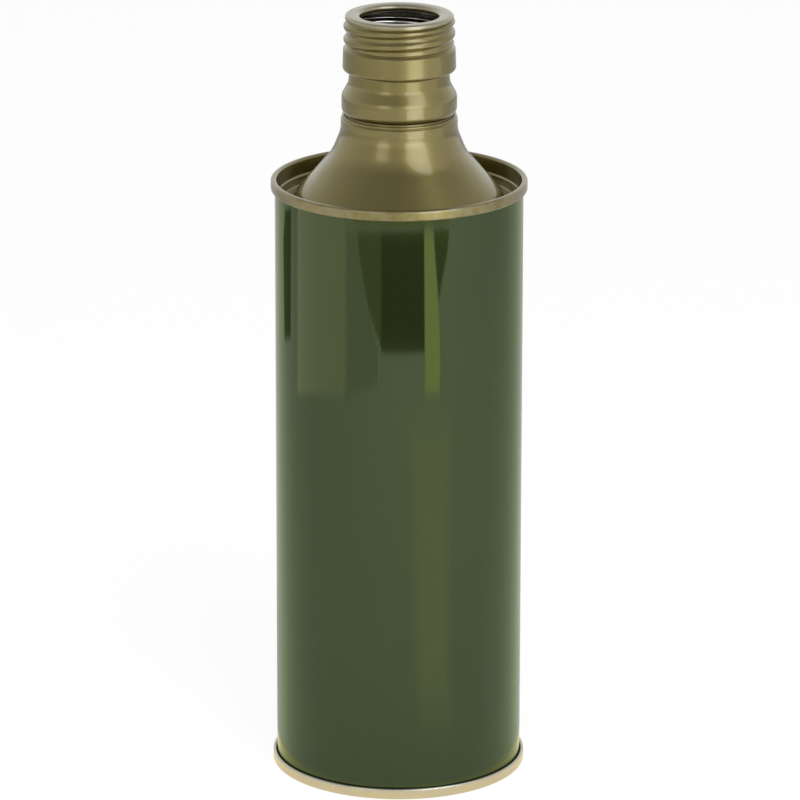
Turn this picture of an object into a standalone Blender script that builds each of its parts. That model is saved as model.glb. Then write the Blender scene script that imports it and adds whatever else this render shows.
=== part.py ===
# A tinplate bottle: a welded can body, a drawn shoulder cone and a flat bottom held on by double seams,
# and a separate neck with a rolled thread, locked into the cone's collar.
# Metres, +Z up. The bottle stands on Z = 0 and its axis is the Z axis. The welded side seam is at the back.
import math

import bpy

MM = 0.001

# Sheet metal
body_plate = 0.20 * MM
end_plate = 0.20 * MM
neck_plate = 0.25 * MM

# Can body
body_diameter = 65.0 * MM
can_height = 160.6 * MM

# Welded side seam
weld_width = 0.8 * MM
weld_rise = 0.07 * MM
weld_bite = 0.12 * MM
weld_end_margin = 0.6 * MM

# Double seams at the ends of the can
top_seam_height = 2.75 * MM
bottom_seam_height = 2.9 * MM
layer_gap = 0.15 * MM
rim_bend = 0.6 * MM

# Sealing compound in the double seams
compound_height = 0.30 * MM
compound_width = 0.60 * MM
compound_gap = 0.10 * MM

# Top end, from the rim down into the gutter and up the cone to its collar
chuck_wall_height = 4.1 * MM
chuck_step_width = 0.4 * MM
chuck_step_height = 0.4 * MM
gutter_drop = 2.3 * MM
gutter_width = 3.05 * MM
gutter_bend = 0.8 * MM
shoulder_width = 1.75 * MM
shoulder_rise = 3.6 * MM
shoulder_bend = 5.0 * MM
bell_rise = 10.1 * MM
bell_bend = 13.0 * MM
waist_flare = 2.5 * MM
waist_rise = 6.25 * MM
collar_height = 2.85 * MM
collar_bend = 0.45 * MM
crimp_drop = 1.15 * MM
crimp_width = 0.8 * MM
crimp_depth = 0.2 * MM

# Bottom end, from the rim up into the countersink and in across the panel
countersink_height = 4.6 * MM
countersink_width = 1.6 * MM
countersink_bend = 0.4 * MM
panel_drop = 0.9 * MM
panel_bend = 0.4 * MM
ring_inset = 6.1 * MM
ring_width = 1.2 * MM
ring_drop = 0.8 * MM
bead_radius = 12.0 * MM
bead_width = 2.4 * MM
bead_rise = 0.6 * MM

# Joint between the neck and the collar. The seat stands out from the thread's root.
seat_step = 0.5 * MM
joint_gap = 0.15 * MM
seal_width = 0.40 * MM
seal_height = 1.3 * MM
seal_gap = 0.10 * MM
flange_height = 2.0 * MM
flange_rise = 0.6 * MM

# Neck, as heights stacked up from the collar's top. A rise stands out from the seat or from the thread's
# root, and a depth goes in from it.
seat_groove_height = 1.0 * MM
bead_foot_height = 2.1 * MM
bead_foot_bend = 0.9 * MM
neck_bead_height = 3.4 * MM
neck_bead_rise = 0.8 * MM
neck_bead_bend = 3.0 * MM
tuck_slope_height = 3.25 * MM
tuck_slope_bend = 3.0 * MM
tuck_groove_height = 3.25 * MM
tuck_groove_depth = 0.75 * MM
tuck_groove_flare = 0.3 * MM
tuck_groove_bend = 0.2 * MM
band_undercut = 0.3 * MM
band_height = 5.65 * MM
band_foot_rise = 1.05 * MM
band_top_rise = 0.85 * MM
band_bend = 0.2 * MM
band_shoulder_height = 0.8 * MM
thread_height = 6.95 * MM
thread_root_radius = 13.75 * MM
thread_depth = 0.75 * MM
thread_pitch = 3.4 * MM
thread_fade = 0.6 * MM
thread_start_drop = 0.3 * MM
lip_undercut = 0.15 * MM
lip_height = 1.1 * MM
lip_rise = 0.35 * MM
lip_fall = 0.25 * MM
lip_fall_width = 0.8 * MM
lip_bend = 0.6 * MM
lip_width = 3.85 * MM
lip_slope_width = 1.2 * MM
lip_slope_drop = 0.35 * MM
lip_crest_bend = 1.0 * MM
curl_height = 1.6 * MM
curl_width = 2.2 * MM
curl_bend = 0.7 * MM

# Facets
turn_facets = 32
thread_rows = 11
facet_error = 0.07 * MM
merge_distance = 0.001 * MM
sharp_edge = math.radians(40)

# Places in the double seams that several pieces share
body_radius = body_diameter / 2
layer_pitch = layer_gap + (body_plate + end_plate) / 2
wall_middle = body_radius - body_plate / 2
chuck_face = wall_middle - layer_pitch - end_plate / 2
end_hook_face = wall_middle + layer_pitch - end_plate / 2
body_hook_face = wall_middle + 2 * layer_pitch - body_plate / 2
rim_face = wall_middle + 3 * layer_pitch + end_plate / 2
end_fold_bend = layer_pitch + end_plate / 2
body_fold_bend = layer_pitch - body_plate / 2
top_fold = can_height - top_seam_height
body_crest = end_plate + compound_height + 2 * compound_gap + body_plate
end_hook_tip = body_crest + body_fold_bend

# Places on the top end that the neck joint shares
seat_radius = thread_root_radius + seat_step
gutter_bottom = can_height - chuck_wall_height - chuck_step_height - gutter_drop
shoulder_top = gutter_bottom + shoulder_rise
waist_bottom = shoulder_top + bell_rise
collar_bottom = waist_bottom + waist_rise
collar_top = collar_bottom + collar_height
collar_radius = seat_radius + seal_width + 2 * seal_gap + crimp_depth + end_plate

# Heights up the neck
bead_foot = collar_top + seat_groove_height
bead_bottom = bead_foot + bead_foot_height
bead_top = bead_bottom + neck_bead_height
tuck_bottom = bead_top + tuck_slope_height
tuck_top = tuck_bottom + tuck_groove_height
band_bottom = tuck_top + band_undercut
band_top = band_bottom + band_height
thread_bottom = band_top + band_shoulder_height
thread_top = thread_bottom + thread_height
lip_bottom = thread_top + lip_undercut
lip_top = lip_bottom + lip_height


def clear_scene():
    for old in list(bpy.data.objects):
        bpy.data.objects.remove(old)


def surface(name, colour, roughness, metallic):
    made = bpy.data.materials.new(name)
    made.use_nodes = True
    shader = made.node_tree.nodes["Principled BSDF"]
    shader.inputs["Base Color"].default_value = (*colour, 1.0)
    shader.inputs["Roughness"].default_value = roughness
    shader.inputs["Metallic"].default_value = metallic
    return made


# A corner is (radius, height) or (radius, height, bend). A bend takes at most half of the shorter run beside
# it, and is drawn as an arc whose flats stay within facet_error of it.
def bent_profile(corners):
    path = [corners[0][:2]]
    for before, corner, after in zip(corners, corners[1:], corners[2:]):
        here = corner[:2]
        if len(corner) == 2:
            path.append(here)
            continue
        into = math.atan2(here[1] - before[1], here[0] - before[0])
        out = math.atan2(after[1] - here[1], after[0] - here[0])
        turn = (out - into + math.pi) % math.tau - math.pi
        side = math.copysign(1, turn)
        room = min(math.dist(before[:2], here), math.dist(here, after[:2])) / 2
        tangent = min(corner[2] * math.tan(abs(turn) / 2), room)
        bend = tangent / math.tan(abs(turn) / 2)
        start = (here[0] - tangent * math.cos(into), here[1] - tangent * math.sin(into))
        centre = (start[0] - side * bend * math.sin(into), start[1] + side * bend * math.cos(into))
        flat_angle = 2 * math.acos(1 - min(1, facet_error / bend))
        flats = math.ceil(abs(turn) / flat_angle)
        for step in range(flats + 1):
            angle = into - side * math.pi / 2 + turn * step / flats
            path.append((centre[0] + bend * math.cos(angle), centre[1] + bend * math.sin(angle)))
    path.append(corners[-1][:2])
    return [point for i, point in enumerate(path) if i == 0 or math.dist(point, path[i - 1]) > merge_distance]


# A profile in the XZ plane turned about Z. It runs down its outer side, so that its faces look out.
def turned(name, path, finish, closed=False):
    mesh = bpy.data.meshes.new(name)
    links = [(i, i + 1) for i in range(len(path) - 1)]
    if closed:
        links.append((len(path) - 1, 0))
    mesh.from_pydata([(radius, 0.0, height) for radius, height in path], links, [])
    mesh.materials.append(finish)
    made = bpy.data.objects.new(name, mesh)
    bottle.objects.link(made)
    screw = made.modifiers.new("turn", "SCREW")
    screw.axis = "Z"
    screw.angle = math.tau
    screw.steps = turn_facets
    screw.render_steps = turn_facets
    screw.use_merge_vertices = True
    screw.merge_threshold = merge_distance
    return made


# The turned profile is the face that shows, and the sheet's thickness lies behind it.
def thicken(made, plate):
    sheet = made.modifiers.new("sheet", "SOLIDIFY")
    sheet.thickness = plate
    sheet.offset = -1.0
    sheet.use_even_offset = True
    sheet.use_quality_normals = True


def make_real(made):
    shown = made.evaluated_get(bpy.context.evaluated_depsgraph_get())
    made.data = bpy.data.meshes.new_from_object(shown)
    made.modifiers.clear()


def shade_round(made):
    make_real(made)
    made.data.shade_smooth()
    made.data.set_sharp_from_angle(angle=sharp_edge)


# An end's sheet from its chuck wall over the rim and round the fold to the tip of its hook. The rim and the
# fold are heights, with the fold nearer to the can's middle, so inward is -1 at the top and 1 at the bottom.
def end_seam(rim, fold):
    inward = math.copysign(1, fold - rim)
    return [
        (chuck_face, rim, rim_bend),
        (rim_face, rim, rim_bend),
        (rim_face, fold, end_fold_bend),
        (end_hook_face, fold, end_fold_bend),
        (end_hook_face, rim + inward * end_hook_tip),
    ]


# The body's flange and hook, from the tip inwards.
def body_hook(rim, fold):
    inward = math.copysign(1, fold - rim)
    crest = rim + inward * body_crest
    return [
        (body_hook_face, fold - inward * end_fold_bend),
        (body_hook_face, crest, body_fold_bend),
        (body_radius, crest, body_fold_bend),
    ]


def side_weld():
    low = bottom_seam_height + weld_end_margin
    high = top_fold - weld_end_margin
    middle = body_radius + (weld_rise - weld_bite) / 2
    bpy.ops.mesh.primitive_cube_add(size=1.0, location=(0.0, middle, (low + high) / 2))
    strip = bpy.context.object
    strip.name = "weld_strip"
    strip.scale = (weld_width, weld_rise + weld_bite, high - low)
    strip.hide_render = True
    strip.display_type = "WIRE"
    for group in list(strip.users_collection):
        group.objects.unlink(strip)
    cutters.objects.link(strip)
    return strip


def can_body():
    corners = body_hook(can_height, top_fold) + body_hook(0.0, bottom_seam_height)[::-1]
    body = turned("can_body", bent_profile(corners), green_lacquer)
    thicken(body, body_plate)
    weld = body.modifiers.new("side_weld", "BOOLEAN")
    weld.operation = "UNION"
    weld.object = side_weld()
    shade_round(body)


def shoulder_cone():
    crimp = collar_top - crimp_drop
    chuck_foot = can_height - chuck_wall_height
    step_face = chuck_face - chuck_step_width
    gutter_inner = step_face - gutter_width
    corners = [
        (seat_radius + joint_gap, collar_top),
        (collar_radius, collar_top, collar_bend),
        (collar_radius, crimp + crimp_width / 2),
        (collar_radius - crimp_depth, crimp),
        (collar_radius, crimp - crimp_width / 2),
        (collar_radius, collar_bottom),
        (collar_radius + waist_flare, waist_bottom, bell_bend),
        (gutter_inner - shoulder_width, shoulder_top, shoulder_bend),
        (gutter_inner, gutter_bottom, gutter_bend),
        (step_face, gutter_bottom, gutter_bend),
        (step_face, chuck_foot - chuck_step_height),
        (chuck_face, chuck_foot),
    ]
    cone = turned("shoulder_cone", bent_profile(corners + end_seam(can_height, top_fold)), gold_lacquer)
    thicken(cone, end_plate)
    shade_round(cone)


def bottom_end():
    wall = chuck_face - countersink_width
    ring_outer = wall - ring_inset
    outer_panel = countersink_height - panel_drop
    centre_panel = outer_panel - ring_drop
    bead_outer = bead_radius + bead_width
    panel = [
        (chuck_face, countersink_height, countersink_bend),
        (wall, countersink_height, countersink_bend),
        (wall, outer_panel, panel_bend),
        (ring_outer, outer_panel),
        (ring_outer - ring_width, centre_panel),
        (bead_outer, centre_panel),
        (bead_outer - bead_rise, centre_panel + bead_rise),
        (bead_radius + bead_rise, centre_panel + bead_rise),
        (bead_radius, centre_panel),
        (0.0, centre_panel),
    ]
    end = turned("bottom_end", bent_profile(end_seam(0.0, bottom_seam_height)[::-1] + panel), gold_lacquer)
    thicken(end, end_plate)
    shade_round(end)


def ring(name, inner, width, top, height):
    outer = inner + width
    low = top - height
    path = [(inner, top), (outer, top), (outer, low), (inner, low)]
    shade_round(turned(name, path, grey_compound, closed=True))


def seam_compounds():
    inner = wall_middle + layer_pitch - compound_width / 2
    depth = end_plate + compound_gap
    ring("top_seam_compound", inner, compound_width, can_height - depth, compound_height)
    ring("bottom_seam_compound", inner, compound_width, depth + compound_height, compound_height)


def neck_seal():
    ring("neck_seal", seat_radius + seal_gap, seal_width, collar_top - collar_bend, seal_height)


def neck_profile():
    cone_taper = waist_flare / waist_rise
    cone_face = collar_radius + flange_height * cone_taper
    flange_radius = cone_face - (end_plate + joint_gap) * math.hypot(1, cone_taper)
    flange_bottom = collar_bottom - flange_height
    groove_radius = thread_root_radius - tuck_groove_depth
    bead_face = seat_radius + neck_bead_rise
    lip_face = thread_root_radius + lip_rise
    mouth = lip_face - lip_width
    curl_top = lip_top - lip_slope_drop
    lip = [
        (mouth + curl_width, curl_top - curl_height),
        (mouth, curl_top - curl_height, curl_bend),
        (mouth, curl_top, curl_bend),
        (mouth + lip_slope_width, lip_top, lip_crest_bend),
        (lip_face - lip_fall_width, lip_top, lip_crest_bend),
        (lip_face, lip_top - lip_fall, lip_bend),
        (lip_face, lip_bottom),
    ]
    row_height = thread_height / thread_rows
    wall = [(thread_root_radius, thread_top - row * row_height) for row in range(thread_rows + 1)]
    lower = [
        (thread_root_radius, thread_bottom),
        (thread_root_radius + band_top_rise, band_top, band_bend),
        (thread_root_radius + band_foot_rise, band_bottom, band_bend),
        (groove_radius, tuck_top, tuck_groove_bend),
        (groove_radius + tuck_groove_flare, tuck_bottom, tuck_slope_bend),
        (bead_face, bead_top, neck_bead_bend),
        (bead_face, bead_bottom, bead_foot_bend),
        (seat_radius, bead_foot),
        (seat_radius, flange_bottom + flange_rise),
        (flange_radius, flange_bottom),
    ]
    return bent_profile(lip) + wall + bent_profile(lower)[1:]


# The wall is pushed out along a right-handed helix, as thread rolls do, and the thread fades out at both
# ends.
def roll_thread(neck):
    crest_at_right = thread_top - thread_start_drop
    for vertex in neck.data.vertices:
        x, y, z = vertex.co
        inside = min(z - thread_bottom, thread_top - z)
        if inside < 0 or abs(math.hypot(x, y) - thread_root_radius) > merge_distance:
            continue
        turns = (z - crest_at_right) / thread_pitch - math.atan2(y, x) / math.tau
        swell = (1 + math.cos(math.tau * turns)) / 2
        grown = 1 + thread_depth * swell * min(1, inside / thread_fade) / thread_root_radius
        vertex.co.x = x * grown
        vertex.co.y = y * grown


def threaded_neck():
    neck = turned("threaded_neck", neck_profile(), gold_lacquer)
    make_real(neck)
    roll_thread(neck)
    thicken(neck, neck_plate)
    shade_round(neck)


clear_scene()
bottle = bpy.data.collections.new("tinplate_bottle")
cutters = bpy.data.collections.new("cutters")
bpy.context.scene.collection.children.link(bottle)
bpy.context.scene.collection.children.link(cutters)

green_lacquer = surface("green_lacquer_on_tin", (0.055, 0.105, 0.025), 0.18, 1.0)
gold_lacquer = surface("gold_lacquer_on_tin", (0.300, 0.245, 0.110), 0.26, 1.0)
grey_compound = surface("sealing_compound", (0.45, 0.44, 0.41), 0.75, 0.0)

can_body()
shoulder_cone()
bottom_end()
threaded_neck()
seam_compounds()
neck_seal()
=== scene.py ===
import math

import bpy
from mathutils import Euler, Matrix, Vector


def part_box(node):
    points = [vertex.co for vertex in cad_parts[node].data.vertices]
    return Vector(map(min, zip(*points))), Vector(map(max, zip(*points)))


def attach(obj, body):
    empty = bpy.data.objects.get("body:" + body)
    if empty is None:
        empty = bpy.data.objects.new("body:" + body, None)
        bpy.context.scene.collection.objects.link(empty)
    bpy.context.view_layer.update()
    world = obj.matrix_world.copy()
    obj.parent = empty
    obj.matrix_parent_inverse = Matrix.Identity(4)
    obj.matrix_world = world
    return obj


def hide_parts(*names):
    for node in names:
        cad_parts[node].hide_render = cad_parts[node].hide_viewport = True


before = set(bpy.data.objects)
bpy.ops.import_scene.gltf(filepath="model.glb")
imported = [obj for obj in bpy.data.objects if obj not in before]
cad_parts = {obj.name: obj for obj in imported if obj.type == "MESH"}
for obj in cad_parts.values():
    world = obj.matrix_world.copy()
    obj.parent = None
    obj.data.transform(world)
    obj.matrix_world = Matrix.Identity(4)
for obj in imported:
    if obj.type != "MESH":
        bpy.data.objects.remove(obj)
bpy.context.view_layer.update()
print("frame loaded")

mm = 0.001
turnSteps = 192  # flats round the axis
flatError = 0.004 * mm  # how far a flat may stand off its true bend
mergeGap = 0.0005 * mm  # points nearer than this are one
longStraight = 1.0 * mm  # a longer straight gets a point close to each end
holdBack = 0.12 * mm  # how far those points are from the ends
creaseAngle = 35  # degrees from which a bend shades as an edge

# The double seams. The rim's radius and the can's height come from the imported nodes, the rest are the
# seamer's allowances.
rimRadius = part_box("bottom_end")[1].x
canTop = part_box("top_seam_compound")[1].z
seamAllowance = {
    "plate": 0.20 * mm,
    "layerGap": 0.15 * mm,
    "topHeight": 2.75 * mm,
    "bottomHeight": 2.9 * mm,
    "rimBend": 0.6 * mm,
    "compoundGap": 0.10 * mm,
    "compoundHeight": 0.30 * mm,
}
plate = seamAllowance["plate"]
layerPitch = plate + seamAllowance["layerGap"]
wallMiddle = rimRadius - 3 * layerPitch - plate / 2
bodyRadius = wallMiddle + plate / 2
chuckFace = wallMiddle - layerPitch - plate / 2
endHookFace = wallMiddle + layerPitch - plate / 2
bodyHookFace = wallMiddle + 2 * layerPitch - plate / 2
canHeight = canTop + plate + seamAllowance["compoundGap"]
topFold = canHeight - seamAllowance["topHeight"]
bottomFold = seamAllowance["bottomHeight"]
# from the rim to the crest of the body's hook
bodyCrest = 2 * plate + 2 * seamAllowance["compoundGap"] + seamAllowance["compoundHeight"]
foldBend = layerPitch + plate / 2
hookBend = layerPitch - plate / 2


def hexColour(code):
    channels = [int(code[i:i + 2], 16) / 255 for i in (1, 3, 5)]
    linear = [c / 12.92 if c <= 0.04045 else ((c + 0.055) / 1.055) ** 2.4 for c in channels]
    return (*linear, 1.0)


# Adds a node. A setting is one of the node's own properties or an input socket, a link is an input
# socket and what feeds it. Sockets by number: 0 is the factor or the first input, a Mix node has its
# plain values at 2 and 3 and its colours at 6 and 7, and a Map Range node turns 1 to 2 into 3 to 4.
def addNode(tree, kind, settings=None, links=None):
    node = tree.nodes.new(kind)
    for key, value in (settings or {}).items():
        if isinstance(key, str) and hasattr(node, key):
            setattr(node, key, value)
        else:
            node.inputs[key].default_value = value
    for socket, source in (links or {}).items():
        output = source if isinstance(source, bpy.types.NodeSocket) else source.outputs[0]
        tree.links.new(output, node.inputs[socket])
    return node


def newMaterial(name, values=None):
    material = bpy.data.materials.new(name)
    material.use_nodes = True
    tree = material.node_tree
    shader = tree.nodes["Principled BSDF"]
    for socket, value in (values or {}).items():
        shader.inputs[socket].default_value = value
    return material, tree, shader


# Green lacquer rolled onto bright tinplate and stoved: the eye sees dark glass-like green with the
# metal's flash under it, and a clear sharp gloss on top. A margin beside the weld is left bare, and
# the weld's heat tints it straw.
greenLook = {
    "deep": "#37481b",
    "light": "#3c4e1e",
    "edge": "#e1f6b9",  # the flash at a grazing angle
    "metalRoughness": 0.05,
    "coatRoughness": 0.03,
    "cloud": 22 * mm,  # slow changes in how thick the lacquer lies
    "orangePeel": 0.9 * mm,
    "peelDepth": 0.02 * mm,
    "peelStrength": 0.02,
    "bareTin": "#b9b6ac",
    "bareMargin": 3.2 * mm,  # to each side of the weld
    "wander": 4 * mm,  # the margin's edge isn't quite straight
    "wanderDepth": 0.3 * mm,
    "heatTint": "#a39a7e",
    "heatStart": 0.4 * mm,
    "heatWidth": 1.6 * mm,
}


def greenLacquer():
    look = greenLook
    material, tree, shader = newMaterial("greenLacqueredTinplate", {
        "Metallic": 1.0,
        "Specular Tint": hexColour(look["edge"]),
        "Roughness": look["metalRoughness"],
        "Coat Weight": 1.0,
        "Coat Roughness": look["coatRoughness"],
    })
    place = addNode(tree, "ShaderNodeTexCoord").outputs["Object"]
    axes = addNode(tree, "ShaderNodeSeparateXYZ", links={0: place})
    cloud = addNode(tree, "ShaderNodeTexNoise", {"Scale": 1 / look["cloud"], "Detail": 3.0},
                    {"Vector": place})
    tint = addNode(tree, "ShaderNodeMix",
                   {"data_type": "RGBA", 6: hexColour(look["deep"]), 7: hexColour(look["light"])},
                   {0: cloud})
    # the bare margin runs up the back, on both sides of x = 0
    side = addNode(tree, "ShaderNodeMath", {"operation": "ABSOLUTE"}, {0: axes.outputs[0]})
    wander = addNode(tree, "ShaderNodeTexNoise", {"Scale": 1 / look["wander"]}, {"Vector": place})
    ragged = addNode(tree, "ShaderNodeMath", {"operation": "MULTIPLY_ADD", 1: look["wanderDepth"]},
                     {0: wander, 2: side})
    near = addNode(tree, "ShaderNodeMath", {"operation": "LESS_THAN", 1: look["bareMargin"]}, {0: ragged})
    back = addNode(tree, "ShaderNodeMath", {"operation": "GREATER_THAN", 1: 0.0}, {0: axes.outputs[1]})
    bare = addNode(tree, "ShaderNodeMath", {"operation": "MULTIPLY"}, {0: near, 1: back})
    heat = addNode(tree, "ShaderNodeMapRange", {1: look["heatStart"], 2: look["heatWidth"]}, {0: ragged})
    margin = addNode(tree, "ShaderNodeMix",
                     {"data_type": "RGBA", 6: hexColour(look["heatTint"]), 7: hexColour(look["bareTin"])},
                     {0: heat})
    colour = addNode(tree, "ShaderNodeMix", {"data_type": "RGBA"},
                     {0: bare, 6: tint.outputs[2], 7: margin.outputs[2]})
    tree.links.new(colour.outputs[2], shader.inputs["Base Color"])
    peel = addNode(tree, "ShaderNodeTexNoise", {"Scale": 1 / look["orangePeel"], "Detail": 1.0},
                   {"Vector": place})
    bump = addNode(tree, "ShaderNodeBump",
                   {"Strength": look["peelStrength"], "Distance": look["peelDepth"]}, {"Height": peel})
    tree.links.new(bump.outputs[0], shader.inputs["Normal"])
    return material


# What all drawn sheets share: tool marks round the axis, a faint grain, and wear in patches on the
# rims, outside the chuck wall, and on the lip, where caps have turned on it.
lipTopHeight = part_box("threaded_neck")[1].z
drawnSheetLook = {
    "cloud": 9 * mm,
    "drawMark": 0.35 * mm,  # real tool marks are about 0.1 mm, these are coarse enough to show
    "markLength": 30 * mm,
    "grain": 0.5 * mm,  # the sheet's grain is drawn coarser too
    "markDepth": 0.0012 * mm,
    "patch": 3 * mm,
    "patchRange": (0.35, 0.6),  # the part of the noise from unworn to fully worn
    "rimWear": (chuckFace - 0.2 * mm, rimRadius - 0.5 * mm),  # radius, from unworn to fully worn
    "lipWear": (lipTopHeight - 1.3 * mm, lipTopHeight - 0.5 * mm),  # height, the same way
    "roughSpread": 0.04,
    "roughRange": (0.3, 0.7),
    "coatIor": 1.58,  # stoved epoxy lacquer
}
# Gold lacquer over drawn tinplate: a warm satin bronze under a clear gloss, rubbed paler by handling.
goldLook = drawnSheetLook | {
    "deep": "#85793f",
    "light": "#93864d",
    "rubbed": "#bdb69a",
    "rubbedShare": 0.25,
    "lipShare": 0.85,
    "metalRoughness": 0.33,
    "coatRoughness": 0.06,
}
# The bottom end's lacquer is thinner and paler, nearly the bright tin under it.
footLook = drawnSheetLook | {
    "deep": "#d3cdb8",
    "light": "#dcd7c4",
    "rubbed": "#d0cdc4",
    "rubbedShare": 0.5,
    "lipShare": 0.0,
    "metalRoughness": 0.30,
    "coatRoughness": 0.10,
}


def goldLacquer(name, look):
    material, tree, shader = newMaterial(name, {
        "Metallic": 1.0,
        "Coat Weight": 1.0,
        "Coat IOR": look["coatIor"],
        "Coat Roughness": look["coatRoughness"],
    })
    place = addNode(tree, "ShaderNodeTexCoord").outputs["Object"]
    cloud = addNode(tree, "ShaderNodeTexNoise", {"Scale": 1 / look["cloud"], "Detail": 4.0},
                    {"Vector": place})
    tint = addNode(tree, "ShaderNodeMix",
                   {"data_type": "RGBA", 6: hexColour(look["deep"]), 7: hexColour(look["light"])},
                   {0: cloud})
    patches = addNode(tree, "ShaderNodeTexNoise", {"Scale": 1 / look["patch"], "Detail": 5.0},
                      {"Vector": place})
    patchLow, patchHigh = look["patchRange"]
    patchy = addNode(tree, "ShaderNodeMapRange", {1: patchLow, 2: patchHigh, 4: look["rubbedShare"]},
                     {0: patches})
    around = addNode(tree, "ShaderNodeVectorMath", {"operation": "MULTIPLY", 1: (1, 1, 0)}, {0: place})
    radius = addNode(tree, "ShaderNodeVectorMath", {"operation": "LENGTH"}, {0: around}).outputs["Value"]
    rimStart, rimFull = look["rimWear"]
    onRim = addNode(tree, "ShaderNodeMapRange", {1: rimStart, 2: rimFull}, {0: radius})
    rimRubbed = addNode(tree, "ShaderNodeMath", {"operation": "MULTIPLY"}, {0: onRim, 1: patchy})
    height = addNode(tree, "ShaderNodeSeparateXYZ", links={0: place}).outputs[2]
    lipStart, lipFull = look["lipWear"]
    lipRubbed = addNode(tree, "ShaderNodeMapRange", {1: lipStart, 2: lipFull, 4: look["lipShare"]},
                        {0: height})
    rubbed = addNode(tree, "ShaderNodeMath", {"operation": "MAXIMUM"}, {0: rimRubbed, 1: lipRubbed})
    colour = addNode(tree, "ShaderNodeMix", {"data_type": "RGBA", 7: hexColour(look["rubbed"])},
                     {0: rubbed, 6: tint.outputs[2]})
    tree.links.new(colour.outputs[2], shader.inputs["Base Color"])
    roughLow, roughHigh = look["roughRange"]
    smoothest = look["metalRoughness"] - look["roughSpread"]
    roughest = look["metalRoughness"] + look["roughSpread"]
    rough = addNode(tree, "ShaderNodeMapRange", {1: roughLow, 2: roughHigh, 3: smoothest, 4: roughest},
                    {0: patches})
    tree.links.new(rough.outputs[0], shader.inputs["Roughness"])
    # tool marks are narrow up and down and long round the axis
    longWay = 1 / look["markLength"]
    stretch = addNode(tree, "ShaderNodeMapping", {"Scale": (longWay, longWay, 1 / look["drawMark"])},
                      {"Vector": place})
    marks = addNode(tree, "ShaderNodeTexNoise", {"Scale": 1.0, "Detail": 2.0}, {"Vector": stretch})
    grain = addNode(tree, "ShaderNodeTexNoise", {"Scale": 1 / look["grain"], "Detail": 2.0},
                    {"Vector": place})
    relief = addNode(tree, "ShaderNodeMath", {"operation": "ADD"}, {0: marks, 1: grain})
    bump = addNode(tree, "ShaderNodeBump", {"Distance": look["markDepth"]}, {"Height": relief})
    tree.links.new(bump.outputs[0], shader.inputs["Normal"])
    return material


# Bright tinplate on the inside of every sheet: pale grey, softly mirroring, with a faint frosty spangle.
tinLook = {
    "deep": "#cfccc3",
    "light": "#dbd8d0",
    "roughness": 0.14,
    "spangle": 3 * mm,  # size of the tin's crystals
}


def bareTin():
    look = tinLook
    material, tree, shader = newMaterial("bareTinplate",
                                         {"Metallic": 1.0, "Roughness": look["roughness"]})
    place = addNode(tree, "ShaderNodeTexCoord").outputs["Object"]
    spangle = addNode(tree, "ShaderNodeTexNoise", {"Scale": 1 / look["spangle"], "Detail": 4.0},
                      {"Vector": place})
    tint = addNode(tree, "ShaderNodeMix",
                   {"data_type": "RGBA", 6: hexColour(look["deep"]), 7: hexColour(look["light"])},
                   {0: spangle})
    tree.links.new(tint.outputs[2], shader.inputs["Base Color"])
    return material


# The weld: steel melted through the tin, matt grey with darker heated steps where each pulse struck.
weldLook = {
    "bead": "#8b8884",
    "heat": "#6a6668",
    "roughness": 0.42,
    "nugget": 1.1 * mm,  # from one pulse to the next
    "width": 0.8 * mm,
    "rise": 0.07 * mm,
    "bite": 0.12 * mm,
    "swell": (0.8, 0.2),  # the middle of the rise, and how far it swings at each pulse
    "endMargin": 0.6 * mm,
    "rows": 480,
    "columns": 10,
    "creaseAngle": 50,
}
wavePeriod = 0.314  # a wave texture of scale 1 repeats after so many metres


def weldSteel():
    look = weldLook
    material, tree, shader = newMaterial("weldedSteel",
                                         {"Metallic": 1.0, "Roughness": look["roughness"]})
    place = addNode(tree, "ShaderNodeTexCoord").outputs["Object"]
    pulse = addNode(tree, "ShaderNodeTexWave",
                    {"bands_direction": "Z", "Scale": wavePeriod / look["nugget"], "Distortion": 1.5,
                     "Detail": 2.0}, {"Vector": place})
    tint = addNode(tree, "ShaderNodeMix",
                   {"data_type": "RGBA", 6: hexColour(look["heat"]), 7: hexColour(look["bead"])},
                   {0: pulse.outputs["Fac"]})
    tree.links.new(tint.outputs[2], shader.inputs["Base Color"])
    return material


# Water-based lining compound in the seams: dull, pale grey, slightly grainy.
compoundLook = {
    "deep": "#a09c92",
    "light": "#b4b0a6",
    "roughness": 0.8,
    "grain": 0.6 * mm,  # the filler is finer, this is coarse enough to show
}


def liningCompound():
    look = compoundLook
    material, tree, shader = newMaterial("liningCompound", {"Roughness": look["roughness"]})
    place = addNode(tree, "ShaderNodeTexCoord").outputs["Object"]
    grain = addNode(tree, "ShaderNodeTexNoise", {"Scale": 1 / look["grain"]}, {"Vector": place})
    tint = addNode(tree, "ShaderNodeMix",
                   {"data_type": "RGBA", 6: hexColour(look["deep"]), 7: hexColour(look["light"])},
                   {0: grain})
    tree.links.new(tint.outputs[2], shader.inputs["Base Color"])
    return material


green = greenLacquer()
gold = goldLacquer("goldLacqueredTinplate", goldLook)
paleGold = goldLacquer("paleLacqueredTinplate", footLook)
tin = bareTin()
weld = weldSteel()
compound = liningCompound()
print("materials made")


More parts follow.
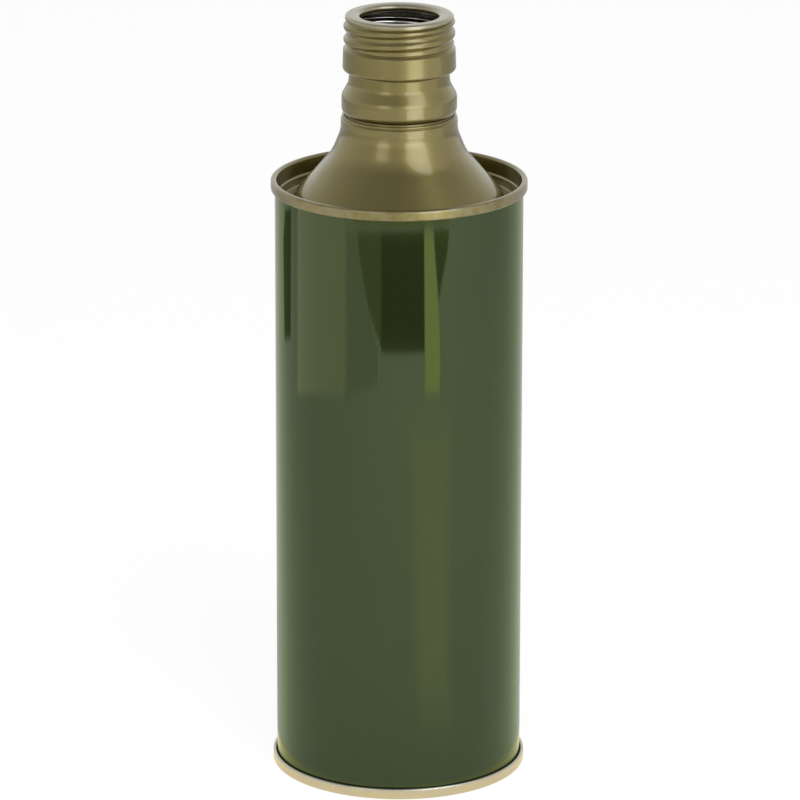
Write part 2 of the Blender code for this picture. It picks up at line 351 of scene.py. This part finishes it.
# Draws an outline through corners of (radius, height) or (radius, height, bend). A bend without room
# for its size is made tighter.
def bentOutline(corners):
    outline = [corners[0][:2]]
    for before, corner, after in zip(corners, corners[1:], corners[2:]):
        here = corner[:2]
        if len(corner) == 2:
            outline.append(here)
            continue
        into = math.atan2(here[1] - before[1], here[0] - before[0])
        out = math.atan2(after[1] - here[1], after[0] - here[0])
        turn = (out - into + math.pi) % math.tau - math.pi
        side = math.copysign(1, turn)
        room = min(math.dist(before[:2], here), math.dist(here, after[:2])) / 2
        tangent = min(corner[2] * math.tan(abs(turn) / 2), room)
        bend = tangent / math.tan(abs(turn) / 2)
        start = (here[0] - tangent * math.cos(into), here[1] - tangent * math.sin(into))
        centre = (start[0] - side * bend * math.sin(into), start[1] + side * bend * math.cos(into))
        flats = math.ceil(abs(turn) / (2 * math.acos(1 - min(1, flatError / bend))))
        for step in range(flats + 1):
            angle = into - side * math.pi / 2 + turn * step / flats
            outline.append((centre[0] + bend * math.cos(angle), centre[1] + bend * math.sin(angle)))
    outline.append(corners[-1][:2])
    outline = [p for i, p in enumerate(outline) if i == 0 or math.dist(p, outline[i - 1]) > mergeGap]
    # points close to both ends of a straight, so that its shading stays straight
    held = [outline[0]]
    for start, end in zip(outline, outline[1:]):
        length = math.dist(start, end)
        for along in (holdBack, length - holdBack) if length > longStraight else ():
            held.append((start[0] + (end[0] - start[0]) * along / length,
                         start[1] + (end[1] - start[1]) * along / length))
        held.append(end)
    return held


# Turns an outline round the axis. The first material is for the drawn face, the second for its back.
def turnOutline(name, outline, materials):
    mesh = bpy.data.meshes.new(name)
    links = [(i, i + 1) for i in range(len(outline) - 1)]
    mesh.from_pydata([(radius, 0.0, height) for radius, height in outline], links, [])
    for material in materials:
        mesh.materials.append(material)
    piece = bpy.data.objects.new(name, mesh)
    bpy.context.scene.collection.objects.link(piece)
    screw = piece.modifiers.new("turn", "SCREW")
    screw.axis = "Z"
    screw.angle = math.tau
    screw.steps = turnSteps
    screw.render_steps = turnSteps
    screw.use_merge_vertices = True
    screw.merge_threshold = mergeGap
    return piece


def makeReal(piece):
    shown = piece.evaluated_get(bpy.context.evaluated_depsgraph_get())
    piece.data = bpy.data.meshes.new_from_object(shown)
    piece.modifiers.clear()


# The plate grows behind the drawn face. Its back and its cut edges are bare tin.
def giveThickness(piece, thickness):
    sheet = piece.modifiers.new("sheet", "SOLIDIFY")
    sheet.thickness = thickness
    sheet.offset = -1.0
    sheet.use_even_offset = True
    sheet.use_quality_normals = True
    sheet.material_offset = 1
    sheet.material_offset_rim = 1
    makeReal(piece)
    piece.data.shade_smooth()
    piece.data.set_sharp_from_angle(angle=math.radians(creaseAngle))


# An end's share of a double seam: over the rim, along its outside, and back up inside the body's hook.
def endSeam(rim, fold):
    inward = math.copysign(1, fold - rim)
    hookTip = rim + inward * (bodyCrest + hookBend)
    return [
        (chuckFace, rim, seamAllowance["rimBend"]),
        (rimRadius, rim, seamAllowance["rimBend"]),
        (rimRadius, fold, foldBend),
        (endHookFace, fold, foldBend),
        (endHookFace, hookTip),
    ]


# The body's share: a hook turned outwards and back towards the fold.
def bodyHook(rim, fold):
    inward = math.copysign(1, fold - rim)
    crest = rim + inward * bodyCrest
    return [
        (bodyHookFace, fold - inward * foldBend),
        (bodyHookFace, crest, hookBend),
        (bodyRadius, crest, hookBend),
    ]


def bodySheet():
    corners = bodyHook(canHeight, topFold) + bodyHook(0.0, bottomFold)[::-1]
    body = turnOutline("bodySheet", bentOutline(corners), [green, tin])
    giveThickness(body, plate)
    return body


# A closed bead up the back. Each row is its crown and, sunk in the plate, the line under it.
def weldBead():
    w = weldLook
    low = bottomFold + w["endMargin"]
    high = topFold - w["endMargin"]
    sunk = bodyRadius - w["bite"]
    swellMiddle, swellSwing = w["swell"]
    corners = []
    for row in range(w["rows"] + 1):
        height = low + (high - low) * row / w["rows"]
        ends = min(1, (height - low) / w["nugget"], (high - height) / w["nugget"])
        swell = ends * (swellMiddle + swellSwing * math.cos(math.tau * height / w["nugget"]))
        crown = bodyRadius + w["rise"] * swell
        for column in range(w["columns"] + 1):
            across = 2 * column / w["columns"] - 1
            radius = sunk + (crown - sunk) * math.sqrt(1 - across * across)
            turn = across * w["width"] / 2 / bodyRadius
            corners.append((radius * math.sin(turn), radius * math.cos(turn), height))
    wide = w["columns"] + 1
    faces = []
    for row in range(w["rows"]):
        for i in range(wide):
            here = row * wide + i
            beside = row * wide + (i + 1) % wide
            faces.append((beside, here, here + wide, beside + wide))
    faces.append(tuple(range(wide)))
    faces.append(tuple(range(w["rows"] * wide, (w["rows"] + 1) * wide))[::-1])
    mesh = bpy.data.meshes.new("weldBead")
    mesh.from_pydata(corners, [], faces)
    mesh.materials.append(weld)
    mesh.shade_smooth()
    bead = bpy.data.objects.new("weldBead", mesh)
    bpy.context.scene.collection.objects.link(bead)
    bead.data.set_sharp_from_angle(angle=math.radians(w["creaseAngle"]))
    return bead


coneShape = {
    # chuck wall and gutter
    "chuckWall": 4.1 * mm, "stepWidth": 0.4 * mm, "stepHeight": 0.4 * mm, "stepBend": 0.3 * mm,
    "gutterDrop": 2.3 * mm, "gutterWidth": 3.05 * mm, "gutterBend": 0.8 * mm,
    # shoulder, bell and waist
    "shoulderWidth": 1.75 * mm, "shoulderRise": 3.6 * mm, "shoulderBend": 5.0 * mm,
    "bellRise": 10.1 * mm, "bellBend": 13.0 * mm, "waistFlare": 2.5 * mm, "waistRise": 6.25 * mm,
    # collar, with a crimp under its roll
    "collarHeight": 4.15 * mm, "collarBend": 0.35 * mm, "collarRadius": 15.25 * mm,
    "collarLip": 14.4 * mm, "rollRadius": 14.95 * mm,
    "crimpDrop": 0.75 * mm, "crimpWidth": 0.5 * mm, "crimpDepth": 0.15 * mm, "crimpBend": 0.3 * mm,
}
gutterBottom = canHeight - coneShape["chuckWall"] - coneShape["stepHeight"] - coneShape["gutterDrop"]
shoulderTop = gutterBottom + coneShape["shoulderRise"]
waistBottom = shoulderTop + coneShape["bellRise"]
collarBottom = waistBottom + coneShape["waistRise"]
collarTop = collarBottom + coneShape["collarHeight"]


def coneSheet():
    c = coneShape
    crimp = collarTop - c["crimpDrop"]
    chuckFoot = canHeight - c["chuckWall"]
    stepFace = chuckFace - c["stepWidth"]
    gutterInner = stepFace - c["gutterWidth"]
    corners = [
        (c["collarLip"], collarTop),
        (c["rollRadius"], collarTop, c["collarBend"]),
        (c["rollRadius"], crimp + c["crimpWidth"] / 2, c["crimpBend"]),
        (c["rollRadius"] - c["crimpDepth"], crimp, c["crimpBend"]),
        (c["collarRadius"], crimp - c["crimpWidth"] / 2, c["crimpBend"]),
        (c["collarRadius"], collarBottom, c["bellBend"]),
        (c["collarRadius"] + c["waistFlare"], waistBottom, c["bellBend"]),
        (gutterInner - c["shoulderWidth"], shoulderTop, c["shoulderBend"]),
        (gutterInner, gutterBottom, c["gutterBend"]),
        (stepFace, gutterBottom, c["gutterBend"]),
        (stepFace, chuckFoot - c["stepHeight"], c["stepBend"]),
        (chuckFace, chuckFoot, c["stepBend"]),
    ]
    cone = turnOutline("coneSheet", bentOutline(corners + endSeam(canHeight, topFold)), [gold, tin])
    giveThickness(cone, plate)
    return cone


bottomShape = {
    "countersinkHeight": 4.6 * mm, "countersinkWidth": 1.6 * mm, "bend": 0.4 * mm, "panelDrop": 0.9 * mm,
    "ringInset": 6.1 * mm, "ringWidth": 1.2 * mm, "ringDrop": 0.8 * mm,
    "beadRadius": 12.0 * mm, "beadWidth": 2.4 * mm, "beadRise": 0.6 * mm,
}


def bottomSheet():
    b = bottomShape
    wall = chuckFace - b["countersinkWidth"]
    ringOuter = wall - b["ringInset"]
    outerPanel = b["countersinkHeight"] - b["panelDrop"]
    centrePanel = outerPanel - b["ringDrop"]
    beadOuter = b["beadRadius"] + b["beadWidth"]
    panel = [
        (chuckFace, b["countersinkHeight"], b["bend"]),
        (wall, b["countersinkHeight"], b["bend"]),
        (wall, outerPanel, b["bend"]),
        (ringOuter, outerPanel, b["bend"]),
        (ringOuter - b["ringWidth"], centrePanel, b["bend"]),
        (beadOuter, centrePanel, b["bend"]),
        (beadOuter - b["beadRise"], centrePanel + b["beadRise"], b["bend"]),
        (b["beadRadius"] + b["beadRise"], centrePanel + b["beadRise"], b["bend"]),
        (b["beadRadius"], centrePanel, b["bend"]),
        (0.0, centrePanel),
    ]
    outline = bentOutline(endSeam(0.0, bottomFold)[::-1] + panel)
    end = turnOutline("bottomSheet", outline, [paleGold, tin])
    giveThickness(end, plate)
    return end


neckShape = {
    "plate": 0.25 * mm,
    # foot that spreads under the collar, and the seat that the collar grips
    "flangeHeight": 2.0 * mm, "flangeRise": 0.6 * mm, "jointGap": 0.15 * mm,
    "seatRadius": 14.25 * mm, "seatGroove": 0.5 * mm, "seatBend": 0.3 * mm,
    # bead
    "beadKnee": 0.4 * mm, "beadTuck": 0.3 * mm, "beadFoot": 1.3 * mm, "beadFootBend": 0.9 * mm,
    "beadHeight": 3.4 * mm, "beadRise": 0.8 * mm, "beadBend": 3.0 * mm,
    # tuck
    "tuckSlope": 3.25 * mm, "tuckSlopeBend": 3.0 * mm, "tuckHeight": 3.25 * mm, "tuckDepth": 0.75 * mm,
    "tuckFlare": 0.3 * mm, "tuckBend": 0.4 * mm,
    # plain band
    "bandUndercut": 0.3 * mm, "bandHeight": 5.65 * mm, "bandFootRise": 1.05 * mm,
    "bandTopRise": 0.85 * mm, "bandBend": 0.35 * mm, "bandFootBend": 0.9 * mm, "bandShoulder": 0.8 * mm,
    # lip, rolled in and down inside the mouth
    "lipUndercut": 0.15 * mm, "lipHeight": 1.1 * mm, "lipRise": 0.35 * mm, "lipFall": 0.25 * mm,
    "lipFallWidth": 0.8 * mm, "lipBend": 0.9 * mm, "lipWidth": 3.85 * mm, "lipSlopeWidth": 1.2 * mm,
    "lipSlopeDrop": 0.35 * mm, "lipCrestBend": 1.4 * mm,
    "curlHeight": 1.6 * mm, "curlWidth": 2.2 * mm, "curlBend": 1.1 * mm,
}
threadShape = {
    "height": 6.95 * mm, "rootRadius": 13.75 * mm, "depth": 0.75 * mm, "pitch": 3.4 * mm,
    "crestWidth": 0.5 * mm, "flankWidth": 1.25 * mm,
    "startDrop": 0.3 * mm,  # the crest's height at +x, below the thread's top
    "fade": 0.6 * mm,  # it runs out over this height at both ends
    "rows": 80,
}


# Rolls the thread out of the plain wall between two heights: a helical swell with rounded flanks.
def rollThread(neck, threadBottom, threadTop):
    t = threadShape
    root = t["rootRadius"]
    crestAtRight = threadTop - t["startDrop"]
    for vertex in neck.data.vertices:
        x, y, z = vertex.co
        inside = min(z - threadBottom, threadTop - z)
        if inside < 0 or abs(math.hypot(x, y) - root) > 2 * mergeGap:
            continue
        turns = (z - crestAtRight) / t["pitch"] - math.atan2(y, x) / math.tau
        fromCrest = abs(turns - round(turns)) * t["pitch"]
        climb = (t["crestWidth"] / 2 + t["flankWidth"] - fromCrest) / t["flankWidth"]
        climb = min(1, max(0, climb))
        swell = climb * climb * (3 - 2 * climb)
        fade = min(1, inside / t["fade"])
        grown = 1 + t["depth"] * swell * fade / root
        vertex.co.x = x * grown
        vertex.co.y = y * grown


def neckSheet():
    n = neckShape
    root = threadShape["rootRadius"]
    beadFoot = collarTop + n["seatGroove"]
    beadBottom = beadFoot + n["beadFoot"]
    beadTop = beadBottom + n["beadHeight"]
    tuckBottom = beadTop + n["tuckSlope"]
    tuckTop = tuckBottom + n["tuckHeight"]
    bandBottom = tuckTop + n["bandUndercut"]
    bandTop = bandBottom + n["bandHeight"]
    threadBottom = bandTop + n["bandShoulder"]
    threadTop = threadBottom + threadShape["height"]
    lipBottom = threadTop + n["lipUndercut"]
    lipTop = lipBottom + n["lipHeight"]
    # the foot keeps its gap to the inside of the cone's taper
    coneTaper = coneShape["waistFlare"] / coneShape["waistRise"]
    coneFace = coneShape["collarRadius"] + n["flangeHeight"] * coneTaper
    flangeRadius = coneFace - (plate + n["jointGap"]) * math.hypot(1, coneTaper)
    flangeBottom = collarBottom - n["flangeHeight"]
    beadFace = n["seatRadius"] + n["beadRise"]
    lipFace = root + n["lipRise"]
    mouth = lipFace - n["lipWidth"]
    curlTop = lipTop - n["lipSlopeDrop"]
    lip = [
        (mouth + n["curlWidth"], curlTop - n["curlHeight"]),
        (mouth, curlTop - n["curlHeight"], n["curlBend"]),
        (mouth, curlTop, n["curlBend"]),
        (mouth + n["lipSlopeWidth"], lipTop, n["lipCrestBend"]),
        (lipFace - n["lipFallWidth"], lipTop, n["lipCrestBend"]),
        (lipFace, lipTop - n["lipFall"], n["lipBend"]),
        (lipFace, lipBottom),
    ]
    rows = threadShape["rows"]
    wall = [(root, threadTop - threadShape["height"] * row / rows) for row in range(rows + 1)]
    lower = [
        (root, threadBottom),
        (root + n["bandTopRise"], bandTop, n["bandBend"]),
        (root + n["bandFootRise"], bandBottom, n["bandFootBend"]),
        (root - n["tuckDepth"], tuckTop, n["tuckBend"]),
        (root - n["tuckDepth"] + n["tuckFlare"], tuckBottom, n["tuckSlopeBend"]),
        (beadFace, beadTop, n["beadBend"]),
        (beadFace, beadBottom, n["beadFootBend"]),
        (beadFace - n["beadTuck"], beadFoot + n["beadKnee"], n["seatBend"]),
        (n["seatRadius"], beadFoot, n["seatBend"]),
        (n["seatRadius"], flangeBottom + n["flangeRise"]),
        (flangeRadius, flangeBottom),
    ]
    outline = bentOutline(lip) + wall + bentOutline(lower)[1:]
    neck = turnOutline("neckSheet", outline, [gold, tin])
    makeReal(neck)
    rollThread(neck, threadBottom, threadTop)
    giveThickness(neck, n["plate"])
    return neck


# Puts a piece on the root body in place of its solid.
def stand(piece, node):
    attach(piece, "root")
    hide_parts(node)


stand(bodySheet(), "can_body")
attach(weldBead(), "root")
stand(coneSheet(), "shoulder_cone")
stand(bottomSheet(), "bottom_end")
stand(neckSheet(), "threaded_neck")
for node in ("top_seam_compound", "bottom_seam_compound", "neck_seal"):
    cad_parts[node].data.materials.clear()
    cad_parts[node].data.materials.append(compound)
print("sheet pieces made")


allRays = ("camera", "diffuse", "glossy", "transmission", "shadow")


def stagePlane(name, corners, material, seenBy=allRays, faces=None):
    mesh = bpy.data.meshes.new(name)
    mesh.from_pydata(corners, [], faces or [tuple(range(len(corners)))])
    mesh.materials.append(material)
    plane = bpy.data.objects.new(name, mesh)
    bpy.context.scene.collection.objects.link(plane)
    for ray in allRays:
        setattr(plane, "visible_" + ray, ray in seenBy)
    return plane


# Pale paper, painted greyer behind the bottle: painted shade that stands for the dimmer far table, which
# the lacquer mirrors. The camera sees it lifted nearly to white, so that a trace of the bottle's shadow
# is left.
paperLook = {
    "front": "#e6e6e4",
    # painted shade: the paper is greyer towards the back only to stand for the dimmer light there
    "back": "#d8d8d6",
    "frontY": -0.15,
    "backY": 0.25,
    "roughness": 0.9,
    "lift": 0.82,  # share of plain glow in what the camera sees
    "glow": 1.095,
    "halfSize": 3.0,
}


def floorPaper():
    look = paperLook
    material, tree, shader = newMaterial("paperWithPaintedShadeBehind", {"Roughness": look["roughness"]})
    place = addNode(tree, "ShaderNodeTexCoord").outputs["Object"]
    axes = addNode(tree, "ShaderNodeSeparateXYZ", links={0: place})
    # painted shade: greys the paper from front to back
    depth = addNode(tree, "ShaderNodeMapRange",
                    {"interpolation_type": "SMOOTHSTEP", 1: look["frontY"], 2: look["backY"]},
                    {0: axes.outputs[1]})
    tint = addNode(tree, "ShaderNodeMix",
                   {"data_type": "RGBA", 6: hexColour(look["front"]), 7: hexColour(look["back"])},
                   {0: depth})
    tree.links.new(tint.outputs[2], shader.inputs["Base Color"])
    path = addNode(tree, "ShaderNodeLightPath")
    glow = addNode(tree, "ShaderNodeEmission", {"Color": (1, 1, 1, 1), "Strength": look["glow"]})
    share = addNode(tree, "ShaderNodeMath", {"operation": "MULTIPLY", 1: look["lift"]},
                    {0: path.outputs["Is Camera Ray"]})
    mix = addNode(tree, "ShaderNodeMixShader", links={0: share, 1: shader, 2: glow})
    tree.links.new(mix.outputs[0], tree.nodes["Material Output"].inputs["Surface"])
    half = look["halfSize"]
    corners = [(-half, -half, 0), (half, -half, 0), (half, half, 0), (-half, half, 0)]
    stagePlane("floor", corners, material)


# The room: a little brighter behind the bottle than in front of it, dim overhead and greyer near the
# horizon. The camera sees plain white.
roomLook = {
    "level": 0.80,
    "towardsBack": 0.07,
    "upwards": -0.53,
    "horizon": 0.86,  # share of the level that is left at the horizon
    "horizonReach": 0.22,
}


def studioWorld():
    look = roomLook
    world = bpy.data.worlds.new("studio")
    bpy.context.scene.world = world
    world.use_nodes = True
    tree = world.node_tree
    place = addNode(tree, "ShaderNodeTexCoord").outputs["Generated"]
    axes = addNode(tree, "ShaderNodeSeparateXYZ", links={0: place})
    flat = addNode(tree, "ShaderNodeMath",
                   {"operation": "MULTIPLY_ADD", 1: look["towardsBack"], 2: look["level"]},
                   {0: axes.outputs[1]})
    room = addNode(tree, "ShaderNodeMath", {"operation": "MULTIPLY_ADD", 1: look["upwards"]},
                   {0: axes.outputs[2], 2: flat})
    horizon = addNode(tree, "ShaderNodeMapRange",
                      {"interpolation_type": "SMOOTHSTEP", 1: 0.0, 2: look["horizonReach"],
                       3: look["horizon"]}, {0: axes.outputs[2]})
    greyed = addNode(tree, "ShaderNodeMath", {"operation": "MULTIPLY"}, {0: room, 1: horizon})
    path = addNode(tree, "ShaderNodeLightPath")
    level = addNode(tree, "ShaderNodeMix", {"data_type": "FLOAT", 3: 1.0},
                    {0: path.outputs["Is Camera Ray"], 2: greyed})
    tree.links.new(level.outputs[0], tree.nodes["Background"].inputs["Strength"])
    tree.nodes["Background"].inputs["Color"].default_value = (1, 1, 1, 1)


# What the lacquer mirrors on the table, on cards that only mirrored rays meet. A corner is (degrees
# round from the front, metres from the bottle), soft is the share of the card that fades out at its
# edge, and each card lies a little higher than the one before it.
tableCards = {
    "cloth": {"level": (0.42, 0.42, 0.26), "soft": 0.08, "corners": [
        (-38.1, 0.592), (-14.4, 0.594), (-14.2, 0.440), (-26.8, 0.488), (-33.8, 0.534), (-37.6, 0.572)]},
    "stand": {"level": (0.25, 0.25, 0.165), "soft": 0.08, "corners": [
        (-16.8, 0.596), (23.4, 0.596), (24.2, 0.440), (-16.6, 0.440)]},
    "strip": {"level": (1.30, 1.32, 0.72), "soft": 0.15, "corners": [
        (21.8, 0.600), (30.0, 0.599), (31.9, 0.567), (35.7, 0.499), (37.5, 0.449), (37.5, 0.387),
        (22.8, 0.389)]},
    "case": {"level": (0.32, 0.36, 0.20), "soft": 0.10, "corners": [
        (31.0, 0.594), (46.6, 0.591), (44.2, 0.558), (40.9, 0.537), (35.7, 0.499), (31.9, 0.567)]},
    "sideCase": {"level": (0.14, 0.17, 0.08), "soft": 0.15, "corners": [
        (-129.1, 0.591), (-116.4, 0.598), (-117.0, 0.420), (-131.0, 0.411), (-133.8, 0.542)]},
    "lightCloth": {"level": (0.93, 0.87, 0.79), "soft": 0.10, "corners": [
        (-107.6, 0.615), (-48.5, 0.615), (-48.3, 0.385), (-107.2, 0.363)]},
    "greyCloth": {"level": (0.67, 0.66, 0.62), "soft": 0.10, "corners": [
        (-48.7, 0.590), (-38.1, 0.592), (-37.6, 0.572), (-26.8, 0.488), (-18.1, 0.443), (-18.1, 0.400),
        (-48.3, 0.383)]},
    "beam": {"level": (1.00, 0.94, 0.80), "soft": 0.55, "corners": [
        (8, 0.400), (50, 0.400), (50, 0.190), (46, 0.060), (12, 0.060), (8, 0.190)]},
    "tableEdge": {"level": (0.72, 0.66, 0.40), "soft": 0.20, "corners": [
        (-47, 0.640), (50, 0.640), (50, 0.596), (-47, 0.596)]},
    "farStrip": {"level": (2.90, 2.95, 3.05), "soft": 0.10, "corners": [
        (14, 0.66), (50, 0.66), (50, 1.1), (14, 1.1)]},
    "farSide": {"level": (0.90, 0.88, 0.88), "soft": 0.10, "corners": [
        (50, 0.66), (95, 0.66), (95, 1.1), (50, 1.1)]},
}
cardLift = 0.1 * mm
cardSteps = 12  # a card's sides bend round the bottle in so many steps
# A ring round the foot that only mirrored rays meet: painted reflection of the table there, warmed by
# painted bounce light and dimmed by painted contact shadow
footShadowAndBounce = {"level": (0.86, 0.75, 0.50), "soft": 0.10, "radius": 0.0435, "steps": 36}
# Tall glowing panels round the bottle that only mirrored rays meet: painted highlights of the two
# softboxes, and a painted reflection of the side wall. A row is (height, from degrees, to degrees, share
# of the panel's level).
tallPanels = {
    "keySoftboxHighlight": {"level": (2.45, 2.55, 2.95), "distance": 1.15, "rows": [
        (0.00, 16, 49, 0.48), (0.22, 13, 50, 0.50), (0.36, 10, 53, 0.95), (0.55, 8, 56, 0.66),
        (0.80, 9, 61, 0.56), (0.93, 12, 64, 0.60), (1.50, 26, 75, 0.58), (1.75, 38, 76, 0.42),
        (2.05, 55, 66, 0.0)]},
    "fillSoftboxHighlight": {"level": (1.58, 1.60, 1.64), "distance": 1.15, "rows": [
        (0.05, -38, -20, 0.35), (0.28, -41, -19, 0.40), (0.42, -43, -18, 1.0), (0.72, -46, -17, 0.75),
        (0.92, -40, -24, 0.0)]},
    "sideWall": {"level": (0.72, 0.72, 0.72), "distance": 1.25, "rows": [
        (0.0, 48, 97, 1.0), (1.25, 48, 97, 1.0)]},
}
panelSoft = 0.12  # share of a panel's width that fades out at each side


def roundPlace(degrees, distance, height):
    angle = math.radians(degrees)
    return distance * math.sin(angle), -distance * math.cos(angle), height


# Light of a level that fades out with the mesh's own "fade" values.
def softGlow(name, level):
    material, tree, shader = newMaterial(name)
    tree.nodes.remove(shader)
    glow = addNode(tree, "ShaderNodeEmission", {"Color": level + (1,), "Strength": 1.0})
    clear = addNode(tree, "ShaderNodeBsdfTransparent")
    fade = addNode(tree, "ShaderNodeAttribute", {"attribute_name": "fade"})
    smooth = addNode(tree, "ShaderNodeMapRange", {"interpolation_type": "SMOOTHSTEP"},
                     {0: fade.outputs["Fac"]})
    mix = addNode(tree, "ShaderNodeMixShader", links={0: smooth, 1: clear, 2: glow})
    tree.links.new(mix.outputs[0], tree.nodes["Material Output"].inputs["Surface"])
    return material


def addGlowMesh(name, level, places, faces, shares):
    glowMesh = stagePlane(name, places, softGlow(name, level), ("glossy",), faces)
    fade = glowMesh.data.attributes.new("fade", "FLOAT", "POINT")
    for i, share in enumerate(shares):
        fade.data[i].value = share


def addCard(name, level, outline, inner, lift):
    count = len(outline)
    places = [roundPlace(degrees, distance, lift) for degrees, distance in outline + inner]
    faces = [(i, (i + 1) % count, count + (i + 1) % count, count + i) for i in range(count)]
    faces.append(tuple(range(count, 2 * count)))
    addGlowMesh(name, level, places, faces, [0.0] * count + [1.0] * count)


def addTableCard(name, lift, level, soft, corners):
    outline = []
    for (degrees, distance), (nextDegrees, nextDistance) in zip(corners, corners[1:] + corners[:1]):
        for step in range(cardSteps):
            outline.append((degrees + (nextDegrees - degrees) * step / cardSteps,
                            distance + (nextDistance - distance) * step / cardSteps))
    middle = [sum(place[i] for place in outline) / len(outline) for i in (0, 1)]
    inner = [tuple(m + (value - m) * (1 - soft) for value, m in zip(place, middle)) for place in outline]
    addCard(name, level, outline, inner, lift)


# painted reflection: a glow ring of bounce light and contact shadow round the foot, for mirrored rays
# only
def addFootShadowAndBounce():
    f = footShadowAndBounce
    turns = [360 * step / f["steps"] for step in range(f["steps"])]
    outline = [(turn, f["radius"]) for turn in turns]
    inner = [(turn, f["radius"] * (1 - f["soft"])) for turn in turns]
    addCard("footShadowAndBounce", f["level"], outline, inner, cardLift)


# painted highlights: a glowing panel that only mirrored rays meet
def addTallPanel(name, level, distance, rows):
    places = []
    shares = []
    for height, start, end, share in rows:
        soft = (end - start) * panelSoft
        for degrees, inside in ((start, 0), (start + soft, 1), (end - soft, 1), (end, 0)):
            places.append(roundPlace(degrees, distance, height))
            shares.append(share * inside)
    faces = []
    for row in range(len(rows) - 1):
        faces += [(i, i + 1, i + 5, i + 4) for i in range(4 * row, 4 * row + 3)]
    addGlowMesh(name, level, places, faces, shares)


def addReflections():
    for order, (name, card) in enumerate(tableCards.items()):
        addTableCard(name, cardLift * (1 + order), **card)
    addFootShadowAndBounce()
    for name, panel in tallPanels.items():
        addTallPanel(name, **panel)


# Fitted to the ellipses of both rims in the photograph
cameraPlace = {
    "distance": 1.5,
    "height": 0.56022,
    "left": 0.0003,
    "pitch": 17.0586,
    "roll": 0.08,
    "lens": 267.44,
    "sensor": 36.0,
}


def addCamera():
    data = bpy.data.cameras.new("camera")
    data.lens = cameraPlace["lens"]
    data.sensor_width = cameraPlace["sensor"]
    camera = bpy.data.objects.new("camera", data)
    camera.location = (cameraPlace["left"], -cameraPlace["distance"], cameraPlace["height"])
    aim = Euler((math.radians(90 - cameraPlace["pitch"]), 0, 0)).to_matrix()
    roll = Matrix.Rotation(math.radians(cameraPlace["roll"]), 3, "Z")
    camera.rotation_euler = (aim @ roll).to_euler()
    bpy.context.scene.collection.objects.link(camera)
    bpy.context.scene.camera = camera


# Both softboxes light the paper and the dull parts. Mirrored rays don't meet them, since the painted
# softbox highlights stand for them there.
softboxTarget = (0, 0, 0.15)
softboxes = {
    "keySoftbox": {"place": (0.35, -0.9, 1.3), "width": 0.5, "height": 0.7, "power": 11.5},
    "fillSoftbox": {"place": (-0.35, -0.8, 1.3), "width": 0.2, "height": 0.7, "power": 3.8},
}


def addSoftbox(name, place, width, height, power):
    data = bpy.data.lights.new(name, "AREA")
    data.shape = "RECTANGLE"
    data.size = width
    data.size_y = height
    data.energy = power
    lamp = bpy.data.objects.new(name, data)
    lamp.location = place
    lamp.rotation_euler = (Vector(softboxTarget) - Vector(place)).to_track_quat("-Z", "Y").to_euler()
    lamp.visible_glossy = False
    bpy.context.scene.collection.objects.link(lamp)


bpy.context.scene.view_settings.view_transform = "Standard"
studioWorld()
floorPaper()
addReflections()
addCamera()
for name, softbox in softboxes.items():
    addSoftbox(name, **softbox)
print("studio set")
